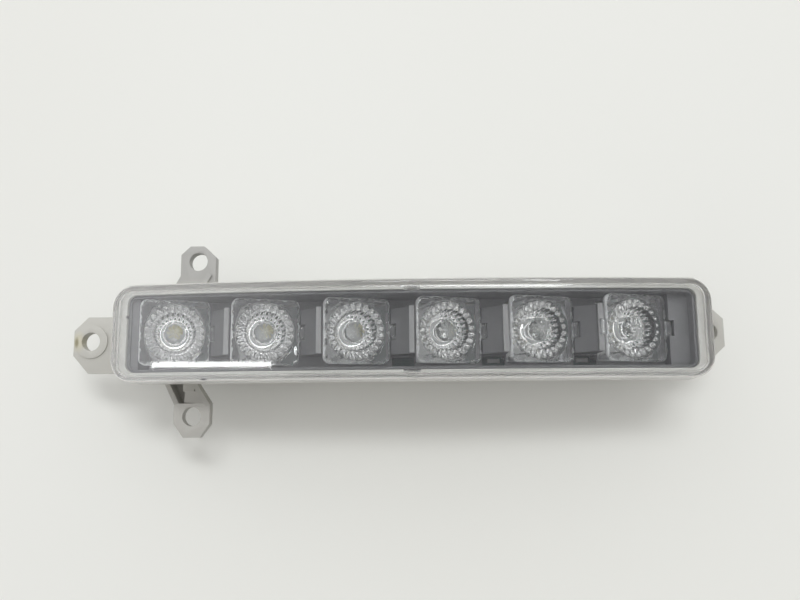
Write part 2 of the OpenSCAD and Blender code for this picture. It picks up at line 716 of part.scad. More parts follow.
// Clear collimator: front plate, faceted bowl, dimple with a raised dome, source well and legs
module optic(i) {
  dome_sphere_r = (dome_r * dome_r + dome_rise * dome_rise) / (2 * dome_rise);
  color([0.9, 0.93, 0.95, 0.4]) at_source(i) {
    difference() {
      union() {
        translate([0, 0, -optic_t]) linear_extrude(optic_t) optic_plan(i);
        facet_bowl();
        for (sx = [-1, 1], sy = [-1, 1])
          translate([sx * leg_x, sy * leg_y, -led_drop]) cylinder(r = leg_r, h = led_drop - 1, $fn = round_fn);
        for (s = [-1, 1])
          translate([s * leg_x, s * leg_y, -led_drop - peg_l]) cylinder(r = peg_r, h = peg_l + 1, $fn = round_fn);
      }
      rotate_extrude($fn = round_fn)
        polygon([[0, 1], [dimple_r + 0.6, 1], [dimple_r, -dimple_depth], [0, -dimple_depth]]);
      translate([0, 0, -optic_h - 1]) cylinder(r = source_well_r, h = source_well_depth + 1, $fn = round_fn);
    }
    intersection() {
      translate([0, 0, dome_rise - dimple_depth - dome_sphere_r]) sphere(dome_sphere_r, $fn = 64);
      translate([0, 0, -dimple_depth - eps]) cylinder(r = dimple_r, h = dome_rise + 1, $fn = round_fn);
    }
  }
}

// Light source: a square ceramic base with a clear dome
module led(i) {
  color([0.9, 0.85, 0.45]) at_source(i) translate([0, 0, -led_drop]) {
    translate([-led_w / 2, -led_w / 2, 0]) cube([led_w, led_w, led_base_t]);
    translate([0, 0, led_base_t - eps]) rotate_extrude($fn = round_fn)
      intersection() {
        circle(led_dome_r, $fn = round_fn);
        square(led_dome_r + 1);
      }
  }
}

// Small board that carries one light source, with two holes for the collimator's pegs
module led_board(i) {
  color([0.1, 0.22, 0.18]) at_source(i) difference() {
    slab(led_board_l / 2, led_board_w / 2, 0.8, -led_drop - led_board_t, -led_drop);
    for (s = [-1, 1])
      translate([s * leg_x, s * leg_y, -led_drop - led_board_t - 1])
        cylinder(r = peg_r + 0.1, h = led_board_t + 2, $fn = round_fn);
  }
}

// Cast aluminium plate with a leaning wedge behind each light source
module heat_sink() {
  color([0.78, 0.79, 0.8]) difference() {
    union() {
      slab(well_hl - sink_gap, well_hw - sink_gap, well_r - sink_gap, floor_z, sink_z);
      for (i = [0:sources - 1])
        translate([source_x(i), row_y, 0]) rotate([90, 0, 0]) linear_extrude(2 * wedge_hw, center = true)
          polygon([[wedge_x0, floor_z + eps], [wedge_x0, lean_z(-led_board_l / 2, wedge_bottom)],
                   [wedge_x1, lean_z(led_board_l / 2, wedge_bottom)], [wedge_x1, floor_z + eps]]);
    }
    stack_holes(floor_z - 1, sink_z + 1, 0.6);
    for (i = [0:sources - 1], s = [-1, 1])
      at_source(i) translate([s * leg_x, s * leg_y, -led_drop - led_board_t - 1])
        cylinder(r = peg_r + 0.5, h = 2, $fn = round_fn);
  }
}

// Screw holes and terminal holes, common to the board, the pad and the heat sink
module stack_holes(z0, z1, grow) {
  for (x = screw_xs, y = screw_ys)
    translate([x, y, z0]) cylinder(d = screw_d + 0.4, h = z1 - z0, $fn = round_fn);
  for (i = [0:terminals - 1])
    block([blade_x - blade_t / 2 - 0.1 - grow, terminal_y(i) - blade_w / 2 - 0.1 - grow, z0],
          [blade_x + blade_t / 2 + 0.1 + grow, terminal_y(i) + blade_w / 2 + 0.1 + grow, z1]);
}

// Openings that the wedges stand in
module wedge_openings(z0, z1) {
  for (i = [0:sources - 1])
    block([source_x(i) + wedge_x0 - cut_gap, row_y - wedge_hw - cut_gap, z0],
          [source_x(i) + wedge_x1 + cut_gap, row_y + wedge_hw + cut_gap, z1]);
}

// Green board that carries the driver
module circuit_board() {
  color([0.1, 0.22, 0.18]) difference() {
    slab(board_hl, board_hw, well_r - board_gap, pad_z, board_z);
    stack_holes(pad_z - 1, board_z + 1, 0);
    wedge_openings(pad_z - 1, board_z + 1);
  }
}

// Thin sheet that keeps the board's joints off the metal
module insulating_pad() {
  color([0.6, 0.62, 0.68]) difference() {
    slab(board_hl - 0.4, board_hw - 0.4, 1, sink_z, pad_z);
    stack_holes(sink_z - 1, pad_z + 1, 0.4);
    wedge_openings(sink_z - 1, pad_z + 1);
  }
}

// Four pan-head screws through the board stack into the bosses
module board_screws() {
  color([0.7, 0.7, 0.72]) for (x = screw_xs, y = screw_ys)
    translate([x, y, board_z]) difference() {
      union() {
        translate([0, 0, -shank_l]) cylinder(d = screw_d, h = shank_l + eps, $fn = round_fn);
        cylinder(d = screw_head_d, h = screw_head_t, $fn = round_fn);
      }
      for (a = [0, 90])
        translate([0, 0, screw_head_t]) rotate([0, 0, a])
          cube([0.5 * screw_head_d, 0.24 * screw_d, 1.1 * screw_head_t], center = true);
    }
}

// Tinned wires from each light source's board down to the driver board
module link_wires() {
  wire_w = 0.6;
  wire_t = 0.4;
  foot_x = led_board_l / 2 - 1.8;
  wire_y = led_board_w / 4;
  top_z = lean_z(foot_x, 0.75 - led_drop);
  drop_x = wedge_x1 + 1.9;
  color([0.82, 0.82, 0.84]) for (i = [0:sources - 1], s = [-1, 1]) {
    at_source(i)
      block([foot_x, s * wire_y - wire_w / 2, -led_drop], [foot_x + wire_t, s * wire_y + wire_w / 2, 0.9 - led_drop]);
    translate([source_x(i), row_y + s * wire_y, 0]) {
      block([lean_x(foot_x, 0.75 - led_drop), -wire_w / 2, top_z - wire_t / 2], [drop_x + wire_t, wire_w / 2, top_z + wire_t / 2]);
      block([drop_x, -wire_w / 2, board_z], [drop_x + wire_t, wire_w / 2, top_z]);
    }
  }
}

// Bent blade that runs from the board through the rear wall into the socket
module terminal(i) {
  y = terminal_y(i);
  color([0.8, 0.78, 0.7]) union() {
    block([blade_x - blade_t / 2, y - blade_w / 2, blade_z - blade_t / 2],
          [blade_x + blade_t / 2, y + blade_w / 2, board_z + 0.8]);
    block([blade_x - blade_t / 2, y - blade_w / 2, blade_z - blade_t / 2],
          [blade_tip_x - 1, y + blade_w / 2, blade_z + blade_t / 2]);
    translate([blade_tip_x - 1, y, blade_z]) rotate([90, 0, 0]) linear_extrude(blade_w, center = true)
      polygon([[-eps, -blade_t / 2], [1, -blade_t / 6], [1, blade_t / 6], [-eps, blade_t / 2]]);
  }
}

// Small-outline chip with four leads on each side
module driver_chip() {
  body_l = 4.9;
  body_w = 3.9;
  body_t = 1.5;
  lead_pitch = 1.27;
  color([0.12, 0.12, 0.13]) translate([source_x(3) + gap_mid, row_y, board_z]) {
    translate([-body_w / 2, -body_l / 2, 0.15]) cube([body_w, body_l, body_t]);
    for (s = [-1, 1], k = [0:3])
      translate([s * (body_w / 2 + 0.45), (k - 1.5) * lead_pitch, 0.25]) cube([1.1, 0.4, 0.5], center = true);
  }
}

// Shielded inductor: a square base with a round drum on it
module power_inductor() {
  color([0.25, 0.25, 0.27]) translate([source_x(1) + gap_mid, row_y + 3, board_z]) {
    slab(3.6, 3.6, 1, 0, 1.2);
    cylinder(d = 6.6, h = 3.6, $fn = round_fn);
  }
}

// Can capacitor on a square foot
module smoothing_capacitor() {
  color([0.75, 0.76, 0.78]) translate([source_x(1) + gap_mid, row_y - 5.2, board_z]) {
    slab(3.1, 3.1, 0.6, 0, 0.8);
    cylinder(d = 6, h = 4.6, $fn = round_fn);
  }
}

// Small box-shaped part with metal end caps, lying along X
module chip_part(l, w, t) {
  cap = l / 5;
  cube([l, w, t], center = true);
  for (s = [-1, 1]) translate([s * (l - cap) / 2, 0, 0]) cube([cap, w + 0.1, t + 0.1], center = true);
}

module filter_capacitor() {
  color([0.6, 0.5, 0.4]) translate([source_x(3) + gap_mid, row_y + 5.6, board_z + 0.8]) chip_part(3.2, 2.5, 1.5);
}

module protection_diode() {
  color([0.14, 0.14, 0.15]) translate([board_hl - 5, row_y + 1, board_z + 1.15]) {
    cube([4.4, 3.6, 2.2], center = true);
    for (s = [-1, 1]) translate([s * 2.3, 0, -0.85]) cube([1, 2.2, 0.4], center = true);
  }
}

// Flat link resistors, seen through the last two slots at the bezel's lower edge
module link_resistors() {
  color([0.85, 0.85, 0.83]) for (i = [3:sources - 2])
    translate([source_x(i) + bar_x1 - 3.5, row_y - bridge_w / 2 - 1.5, board_z + 0.35]) chip_part(4.2, 1.4, 0.6);
}

// Thin breather disc on the rear wall, inside its guard ring
module vent_membrane() {
  color([0.95, 0.95, 0.95]) translate([vent_x, 0, rear_z - membrane_t]) cylinder(d = vent_d, h = membrane_t, $fn = round_fn);
}

outer_lens();
housing();
connector_shell();
inner_bezel();
for (i = [0:sources - 1]) {
  optic(i);
  led(i);
  led_board(i);
}
heat_sink();
insulating_pad();
circuit_board();
board_screws();
link_wires();
for (i = [0:terminals - 1])
  terminal(i);
driver_chip();
power_inductor();
smoothing_capacitor();
filter_capacitor();
protection_diode();
link_resistors();
vent_membrane();
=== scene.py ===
"""Daytime running light on a pale bench: a clear bowed lens over six leaning collimators in a grey housing.
Lengths are in metres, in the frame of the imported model: X runs along the lamp, Y across it and Z out
through the lens."""
import math
import bmesh
import bpy
import numpy as np
from mathutils import Matrix, Vector


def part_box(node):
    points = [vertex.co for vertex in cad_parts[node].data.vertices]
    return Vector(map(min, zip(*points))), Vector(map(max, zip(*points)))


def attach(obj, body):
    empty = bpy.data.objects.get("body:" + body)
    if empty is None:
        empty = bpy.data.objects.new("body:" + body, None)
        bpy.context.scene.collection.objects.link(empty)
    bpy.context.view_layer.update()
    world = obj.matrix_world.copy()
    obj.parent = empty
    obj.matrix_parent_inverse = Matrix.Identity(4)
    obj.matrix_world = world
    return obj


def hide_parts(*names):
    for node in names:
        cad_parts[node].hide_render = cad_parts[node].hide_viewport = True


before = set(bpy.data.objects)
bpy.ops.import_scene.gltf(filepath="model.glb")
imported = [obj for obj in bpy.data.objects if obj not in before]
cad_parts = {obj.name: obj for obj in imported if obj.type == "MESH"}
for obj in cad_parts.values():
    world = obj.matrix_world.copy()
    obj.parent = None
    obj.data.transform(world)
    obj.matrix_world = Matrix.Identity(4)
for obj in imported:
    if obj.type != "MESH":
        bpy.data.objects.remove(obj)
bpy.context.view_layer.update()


# Camera. A phone held a little below the lamp's middle and almost straight above it, turned slightly so that
# the right end of the lamp rises in the picture.
eye = Vector((0.00753, -0.02785, 0.285))
sight = Vector((-0.0404, 0.153, -0.9874)).normalized()
upward = Vector((0.0132, 0.9882, 0.1526))
across = sight.cross(upward).normalized()
upward = across.cross(sight).normalized()
phone = bpy.data.cameras.new("phone")
phone.lens = 34.2
phone.sensor_width = 36.0
phone.clip_start = 0.01
phone.clip_end = 20.0
phone_ob = bpy.data.objects.new("phone", phone)
phone_ob.matrix_world = Matrix.Translation(eye) @ Matrix((across, upward, -sight)).transposed().to_4x4()
bpy.context.scene.collection.objects.link(phone_ob)
bpy.context.scene.camera = phone_ob
bpy.context.scene.view_settings.view_transform = "Standard"


# Bench and light. A sheet of matt off-white card in a room of bright and dim panes. A large soft lamp stands
# behind the bench, and a bright strip hangs where its mirror image falls on the lens's lower left.
def finish(name, base, roughness):
    """A new node material. Gives back the material, its node tree and its Principled shader."""
    mat = bpy.data.materials.new(name)
    mat.use_nodes = True
    tree = mat.node_tree
    shader = tree.nodes["Principled BSDF"]
    shader.inputs["Base Color"].default_value = (*base, 1.0)
    shader.inputs["Roughness"].default_value = roughness
    return mat, tree, shader


def place(tree):
    """Object coordinates, in metres on a piece whose object sits at the origin."""
    return tree.nodes.new("ShaderNodeTexCoord").outputs["Object"]


def grain(tree, where, scale, detail=2.0, rough=0.5, stretch=(1.0, 1.0, 1.0)):
    """Noise from 0 to 1 on the given coordinates, stretched along the axes."""
    if stretch != (1.0, 1.0, 1.0):
        turn = tree.nodes.new("ShaderNodeMapping")
        turn.inputs["Scale"].default_value = stretch
        tree.links.new(where, turn.inputs["Vector"])
        where = turn.outputs["Vector"]
    noise = tree.nodes.new("ShaderNodeTexNoise")
    noise.inputs["Scale"].default_value = scale
    noise.inputs["Detail"].default_value = detail
    noise.inputs["Roughness"].default_value = rough
    tree.links.new(where, noise.inputs["Vector"])
    return noise.outputs["Fac"]


def remap(tree, value, low, high, to_low=0.0, to_high=1.0):
    """Takes low..high of a value to to_low..to_high, clamped."""
    node = tree.nodes.new("ShaderNodeMapRange")
    for slot, v in zip(("From Min", "From Max", "To Min", "To Max"), (low, high, to_low, to_high)):
        node.inputs[slot].default_value = v
    tree.links.new(value, node.inputs["Value"])
    return node.outputs["Result"]


def tint(tree, factor, first, second):
    """Mixes two colours, each given by its numbers or by a socket, by a factor socket."""
    node = tree.nodes.new("ShaderNodeMix")
    node.data_type = "RGBA"
    for slot, c in ((6, first), (7, second)):
        if isinstance(c, tuple):
            node.inputs[slot].default_value = (*c, 1.0)
        else:
            tree.links.new(c, node.inputs[slot])
    tree.links.new(factor, node.inputs[0])
    return node.outputs[2]


def paint(tree, shader, colour):
    """Lets a colour socket give the shader its base colour."""
    tree.links.new(colour, shader.inputs["Base Color"])


def relief(tree, shader, height, strength, distance):
    """Bump from a height between 0 and 1."""
    node = tree.nodes.new("ShaderNodeBump")
    node.inputs["Strength"].default_value = strength
    node.inputs["Distance"].default_value = distance
    tree.links.new(height, node.inputs["Height"])
    tree.links.new(node.outputs["Normal"], shader.inputs["Normal"])


def solid(name, points, faces, mat):
    """A smooth mesh object at the origin from arrays of points and faces."""
    mesh = bpy.data.meshes.new(name)
    mesh.from_pydata(points.tolist(), [], faces.tolist())
    mesh.validate()
    mesh.update()
    mesh.shade_smooth()
    mesh.materials.append(mat)
    ob = bpy.data.objects.new(name, mesh)
    bpy.context.scene.collection.objects.link(ob)
    return ob


card, tree, shader = finish("matt_card", (0.80, 0.805, 0.785), 0.9)
shader.inputs["Specular IOR Level"].default_value = 0.1
where = place(tree)
patches = remap(tree, grain(tree, where, 3.0), 0.3, 0.7)
paint(tree, shader, tint(tree, patches, (0.80, 0.808, 0.788), (0.785, 0.79, 0.765)))
relief(tree, shader, grain(tree, where, 2500.0), 0.05, 0.0002)

bench_reach, bench_steps, bench_top = 2.5, 9, -0.0002
reach = np.linspace(-bench_reach, bench_reach, bench_steps)
bench_x, bench_y = np.meshgrid(reach, reach)
points = np.stack([bench_x, bench_y, np.full_like(bench_x, bench_top)], axis=-1).reshape(-1, 3)
index = np.arange(bench_steps ** 2).reshape(bench_steps, bench_steps)
faces = np.stack([index[:-1, :-1], index[:-1, 1:], index[1:, 1:], index[1:, :-1]], axis=-1).reshape(-1, 4)
bench = solid("bench", points, faces, card)

room = bpy.data.worlds.new("room")
room.use_nodes = True
bpy.context.scene.world = room
tree = room.node_tree
facing = tree.nodes.new("ShaderNodeTexCoord").outputs["Generated"]
way = tree.nodes.new("ShaderNodeSeparateXYZ")
tree.links.new(facing, way.inputs[0])
way_x, way_y, way_z = way.outputs["X"], way.outputs["Y"], way.outputs["Z"]
only = tree.nodes.new("ShaderNodeLightPath")

# Gloss mirrors a room that is bright on the left and dims to the right.
sky = tint(tree, remap(tree, way_x, -0.15, 0.4), (0.42, 0.42, 0.44), (0.30, 0.30, 0.32))
sky = tint(tree, remap(tree, way_x, -0.56, -0.15), (2.6, 2.6, 2.64), sky)

# The clear pieces show bright and dim panes, which grow brighter to the right and end in a dark skirt near
# the floor. A band of even light lies where the lens's inner face mirrors the room.
rightward = remap(tree, way_x, 0.2, 0.7)
dim = tint(tree, rightward, (0.48, 0.485, 0.49), (1.55, 1.55, 1.55))
bright = tint(tree, rightward, (2.05, 2.07, 2.05), (4.4, 4.42, 4.4))
patches = grain(tree, facing, 3.4, 1.0, 0.4, (1.0, 1.5, 1.0))
panes = tint(tree, remap(tree, patches, 0.46, 0.54), dim, bright)
panes = tint(tree, remap(tree, way_z, 0.1, 0.4), (0.30, 0.295, 0.29), panes)
band = tint(tree, remap(tree, way_y, -0.02, 0.03), panes, (1.0, 1.0, 1.02))
panes = tint(tree, remap(tree, way_y, 0.17, 0.22), band, panes)
sky = tint(tree, only.outputs["Is Transmission Ray"], sky, panes)

# Matt surfaces are lit by a plain dome, darker on the side of minus Y, and the camera sees a pale wall.
soft = tint(tree, remap(tree, way_y, -0.7, 0.7), (0.36, 0.345, 0.32), (1.0, 0.995, 0.985))
sky = tint(tree, only.outputs["Is Diffuse Ray"], sky, soft)
sky = tint(tree, only.outputs["Is Camera Ray"], sky, (0.79, 0.80, 0.78))
tree.links.new(sky, tree.nodes["Background"].inputs["Color"])


def lamp(name, stand, turn, width, height, power, colour):
    """A rectangular lamp that shines along its own minus Z axis."""
    data = bpy.data.lights.new(name, "AREA")
    data.shape = "RECTANGLE"
    data.size, data.size_y, data.energy, data.color = width, height, power, colour
    ob = bpy.data.objects.new(name, data)
    ob.matrix_world = Matrix.Translation(stand) @ turn.to_4x4()
    bpy.context.scene.collection.objects.link(ob)
    return ob


ceiling = Vector((0.21, 0.74, 1.85))
downward = (-ceiling).to_track_quat("-Z", "Y").to_matrix()
lamp("ceiling_light", ceiling, downward, 0.9, 0.34, 12.0, (0.97, 0.985, 0.98))

long_half, bow_rise, streak_level = 0.0975, 0.0061, 0.0455
bow_r = (long_half ** 2 + bow_rise ** 2) / (2 * bow_rise)
picture_w, picture_h = 800, 600
focal_pixels = phone.lens / phone.sensor_width * picture_w


def mirrored(column, row):
    """Where the ray of one picture point meets the bowed lens front, and the way in which it is reflected. The
    ray is carried to the level of the lens, the normal leans with the bow, and the ray turns over about it."""
    ray = sight * focal_pixels + across * (column - picture_w / 2) + upward * (picture_h / 2 - row)
    ray.normalize()
    hit = eye + ray * ((streak_level - eye.z) / ray.z)
    normal = Vector((hit.x / bow_r, 0.0, 1.0)).normalized()
    return hit, ray - 2 * ray.dot(normal) * normal


streak_ends, tube_far, tube_thick = ((150, 365), (272, 364.5)), 1.9, 0.0135
(start, start_way), (end, end_way) = (mirrored(*point) for point in streak_ends)
tube_start, tube_end = start + start_way * tube_far, end + end_way * tube_far
tube_middle = (tube_start + tube_end) / 2
aim = ((start + end) / 2 - tube_middle).normalized()
along = (tube_end - tube_start).normalized()
along = (along - aim * along.dot(aim)).normalized()
tube = lamp("tube_light", tube_middle, Matrix((along, (-aim).cross(along), -aim)).transposed(),
            (tube_start - tube_end).length, tube_thick, 0.5, (1.0, 1.0, 1.0))
tube.visible_diffuse = False
tube.visible_transmission = False


# Housing. One moulding of light-grey glass-filled polypropylene with the tub, the lip and flange of the rim,
# ears and ribs. The moulded edges are slightly round, the plastic is scuffed, the left ear is a little
# stained, and the ears beyond the long sides are darker.
def rounded_copy(node, name, width, mat):
    """The node's own shape as one welded skin. Each edge sharper than 35 degrees is rounded to the width."""
    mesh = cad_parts[node].data.copy()
    mesh.name = name
    skin = bmesh.new()
    skin.from_mesh(mesh)
    bmesh.ops.remove_doubles(skin, verts=skin.verts, dist=2e-6)
    bmesh.ops.dissolve_limit(skin, angle_limit=math.radians(0.4), verts=skin.verts, edges=skin.edges)
    skin.to_mesh(mesh)
    skin.free()
    mesh.materials.clear()
    mesh.materials.append(mat)
    ob = bpy.data.objects.new(name, mesh)
    bpy.context.scene.collection.objects.link(ob)
    mesh.shade_smooth()
    bevel = ob.modifiers.new("round_edges", "BEVEL")
    bevel.width = width
    bevel.segments = 2
    bevel.limit_method = "ANGLE"
    bevel.angle_limit = math.radians(35.0)
    bevel.use_clamp_overlap = True
    bevel.harden_normals = True
    return ob


def fleck(tree, where, colour, spot, size, shade, most=0.75):
    """Fades a colour to a shade inside an ellipsoid with the given middle and half sizes."""
    middle = tree.nodes.new("ShaderNodeMapping")
    middle.vector_type = "TEXTURE"
    middle.inputs["Location"].default_value = spot
    middle.inputs["Scale"].default_value = size
    tree.links.new(where, middle.inputs["Vector"])
    off = tree.nodes.new("ShaderNodeVectorMath")
    off.operation = "LENGTH"
    tree.links.new(middle.outputs["Vector"], off.inputs[0])
    return tint(tree, remap(tree, off.outputs["Value"], 0.35, 1.0, most, 0.0), colour, shade)


grey, tree, shader = finish("housing_plastic", (0.50, 0.495, 0.465), 0.5)
shader.inputs["Specular IOR Level"].default_value = 0.45
where = place(tree)
cloud = remap(tree, grain(tree, where, 26.0, 3.0), 0.32, 0.68)
colour = tint(tree, cloud, (0.53, 0.525, 0.495), (0.47, 0.465, 0.435))
scuffs = grain(tree, where, 210.0, 3.0, 0.6, (0.35, 1.0, 1.0))
colour = tint(tree, remap(tree, scuffs, 0.62, 0.78, 0.0, 0.4), colour, (0.62, 0.615, 0.59))

# The ears beyond the lens's long sides are a little darker than the rim, more so on the upper side.
axes = tree.nodes.new("ShaderNodeSeparateXYZ")
tree.links.new(where, axes.inputs[0])
rim_y, ear_y = 0.017, 0.021
colour = tint(tree, remap(tree, axes.outputs["Y"], rim_y, ear_y), colour, (0.38, 0.377, 0.365))
colour = tint(tree, remap(tree, axes.outputs["Y"], -ear_y, -rim_y, 1.0, 0.0), colour, (0.42, 0.413, 0.39))

# A rusty stain round the left hole with a dark heart, a nick in the lip, a painted highlight along a stretch
# of the upper lip, and painted glints at the corners of the two key notches.
colour = fleck(tree, where, colour, (-0.1157, -0.0009, 0.025), (0.003, 0.0042, 0.02), (0.52, 0.49, 0.37))
colour = fleck(tree, where, colour, (-0.1163, -0.0012, 0.025), (0.0009, 0.0023, 0.02), (0.22, 0.20, 0.12), 0.9)
colour = fleck(tree, where, colour, (-0.0927, 0.0056, 0.040), (0.0006, 0.0007, 0.01), (0.05, 0.05, 0.05), 0.9)
# Painted highlight: a pale band along part of the upper lip.
colour = fleck(tree, where, colour, (0.030, 0.0138, 0.040), (0.042, 0.0016, 0.010), (0.82, 0.82, 0.81), 0.85)
# Painted glints: four bright spots at the corners of the key notches.
notch_glint_size, notch_glint_colour = (0.0010, 0.0016, 0.008), (0.98, 0.98, 0.97)
for notch_x in (-0.0006, 0.0036):
    for notch_y in (-0.014, 0.014):
        colour = fleck(tree, where, colour, (notch_x, notch_y, 0.041), notch_glint_size, notch_glint_colour, 1.0)
paint(tree, shader, colour)
tree.links.new(remap(tree, grain(tree, where, 130.0, 3.0), 0.3, 0.7, 0.42, 0.6), shader.inputs["Roughness"])
relief(tree, shader, grain(tree, where, 3600.0), 0.12, 0.00006)

tub = rounded_copy("housing", "housing_moulding", 0.00028, grey)
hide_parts("housing")
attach(tub, "root")


# Connector and terminals. A separate moulding of the same plastic, welded to the rear wall, with three bent
# tin-plated blades. The wires that link the small boards to the long one are tinned too.
socket = rounded_copy("connector_shell", "connector_moulding", 0.00025, grey)
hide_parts("connector_shell")
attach(socket, "root")


def dress(node, mat):
    """Gives a carried-over piece its finish."""
    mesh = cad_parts[node].data
    mesh.materials.clear()
    mesh.materials.append(mat)


tin, tree, shader = finish("tinned_brass", (0.72, 0.71, 0.68), 0.32)
shader.inputs["Metallic"].default_value = 1.0
where = place(tree)
drawn = grain(tree, where, 900.0, 2.0, 0.5, (1.0, 4.0, 1.0))
tree.links.new(remap(tree, drawn, 0.3, 0.7, 0.22, 0.42), shader.inputs["Roughness"])
dull = remap(tree, grain(tree, where, 300.0), 0.4, 0.7)
paint(tree, shader, tint(tree, dull, (0.74, 0.73, 0.70), (0.62, 0.60, 0.55)))
for n in (1, 2, 3):
    dress(f"terminal_{n}", tin)
dress("link_wires", tin)


# Breather. A disc of white expanded PTFE that lets air through and keeps water out, heat-sealed in its guard
# ring on the rear wall.
felt, tree, shader = finish("breather_felt", (0.86, 0.86, 0.84), 0.85)
where = place(tree)
paint(tree, shader, tint(tree, grain(tree, where, 700.0), (0.88, 0.88, 0.86), (0.80, 0.80, 0.78)))
relief(tree, shader, grain(tree, where, 5200.0), 0.35, 0.00005)
dress("vent_membrane", felt)


# Heat sink and pad. The sink is die-cast aluminium with a wedge behind each light source. It lies on the
# floor of the tub under a grey silicone pad.
cast, tree, shader = finish("cast_aluminium", (0.62, 0.63, 0.64), 0.42)
shader.inputs["Metallic"].default_value = 1.0
where = place(tree)
tree.links.new(remap(tree, grain(tree, where, 1300.0, 3.0), 0.3, 0.7, 0.34, 0.55), shader.inputs["Roughness"])
paint(tree, shader, tint(tree, grain(tree, where, 180.0, 3.0), (0.66, 0.67, 0.68), (0.54, 0.55, 0.56)))
relief(tree, shader, grain(tree, where, 2600.0), 0.25, 0.00005)
dress("heat_sink", cast)

pad, tree, shader = finish("silicone_pad", (0.33, 0.35, 0.38), 0.7)
where = place(tree)
paint(tree, shader, tint(tree, grain(tree, where, 500.0), (0.35, 0.37, 0.40), (0.29, 0.31, 0.34)))
relief(tree, shader, grain(tree, where, 3000.0), 0.3, 0.00004)
dress("insulating_pad", pad)


# Circuit boards. Glass-fibre boards: the long driver board under dark-green solder mask, and a small white one
# on each wedge that throws stray light back into its collimator.
mask, tree, shader = finish("solder_mask", (0.012, 0.042, 0.034), 0.34)
shader.inputs["Specular IOR Level"].default_value = 0.15
where = place(tree)
weave = tree.nodes.new("ShaderNodeTexWave")
weave.inputs["Scale"].default_value = 620.0
weave.inputs["Distortion"].default_value = 0.6
tree.links.new(where, weave.inputs["Vector"])
relief(tree, shader, weave.outputs["Fac"], 0.1, 0.00002)
tracks = tree.nodes.new("ShaderNodeTexBrick")
tracks.inputs["Scale"].default_value = 260.0
tracks.inputs["Mortar Size"].default_value = 0.03
tracks.inputs["Color1"].default_value = (0.014, 0.052, 0.042, 1.0)
tracks.inputs["Color2"].default_value = (0.008, 0.034, 0.028, 1.0)
tracks.inputs["Mortar"].default_value = (0.02, 0.075, 0.058, 1.0)
tree.links.new(where, tracks.inputs["Vector"])
paint(tree, shader, tracks.outputs["Color"])
dress("circuit_board", mask)

pale, tree, shader = finish("white_solder_mask", (0.80, 0.81, 0.80), 0.4)
where = place(tree)
paint(tree, shader, tint(tree, grain(tree, where, 700.0), (0.86, 0.87, 0.86), (0.76, 0.77, 0.76)))
relief(tree, shader, grain(tree, where, 2600.0), 0.1, 0.00002)
for n in range(1, 7):
    dress(f"led_board_{n}", pale)


# Board parts and screws. The driver chip, inductor, capacitors, diode and resistors are soldered to the long
# board, which four zinc-plated pan-head screws hold down.
def plain(name, base, roughness, metal=0.0):
    """A small part's finish: its colour a little clouded, with a fine grain in its gloss and relief."""
    mat, tree, shader = finish(name, base, roughness)
    shader.inputs["Metallic"].default_value = metal
    where = place(tree)
    darker = tuple(0.82 * c for c in base)
    paint(tree, shader, tint(tree, grain(tree, where, 900.0), base, darker))
    gloss = remap(tree, grain(tree, where, 1890.0), 0.3, 0.7, 0.85 * roughness, 1.15 * roughness)
    tree.links.new(gloss, shader.inputs["Roughness"])
    relief(tree, shader, grain(tree, where, 3600.0), 0.2, 0.00003)
    return mat


dress("driver_chip", plain("chip_epoxy", (0.02, 0.02, 0.022), 0.5))
dress("protection_diode", plain("diode_epoxy", (0.03, 0.03, 0.032), 0.45))
dress("power_inductor", plain("ferrite", (0.07, 0.07, 0.075), 0.55))
dress("smoothing_capacitor", plain("can_aluminium", (0.78, 0.79, 0.80), 0.25, 1.0))
dress("filter_capacitor", plain("ceramic_tan", (0.45, 0.31, 0.19), 0.45))
dress("link_resistors", plain("alumina_white", (0.72, 0.72, 0.70), 0.5))
dress("board_screws", plain("zinc_plate", (0.66, 0.67, 0.70), 0.3, 1.0))


# Light sources. Each is a white ceramic base, reflow-soldered to its small board, with yellow phosphor in its
# middle under a clear silicone dome.
for n in range(1, 7):
    low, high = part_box(f"led_{n}")
    mat, tree, shader = finish(f"light_source_{n}", (0.85, 0.85, 0.82), 0.35)
    where = place(tree)
    centre = tree.nodes.new("ShaderNodeMapping")
    centre.vector_type = "POINT"
    centre.inputs["Location"].default_value = tuple(-(a + b) / 2 for a, b in zip(low, high))
    tree.links.new(where, centre.inputs["Vector"])
    off = tree.nodes.new("ShaderNodeVectorMath")
    off.operation = "LENGTH"
    tree.links.new(centre.outputs["Vector"], off.inputs[0])
    phosphor = remap(tree, off.outputs["Value"], 0.0011, 0.0016, 1.0, 0.0)
    paint(tree, shader, tint(tree, phosphor, (0.90, 0.90, 0.86), (0.88, 0.78, 0.24)))
    relief(tree, shader, grain(tree, where, 4000.0), 0.1, 0.00003)
    dress(f"led_{n}", mat)
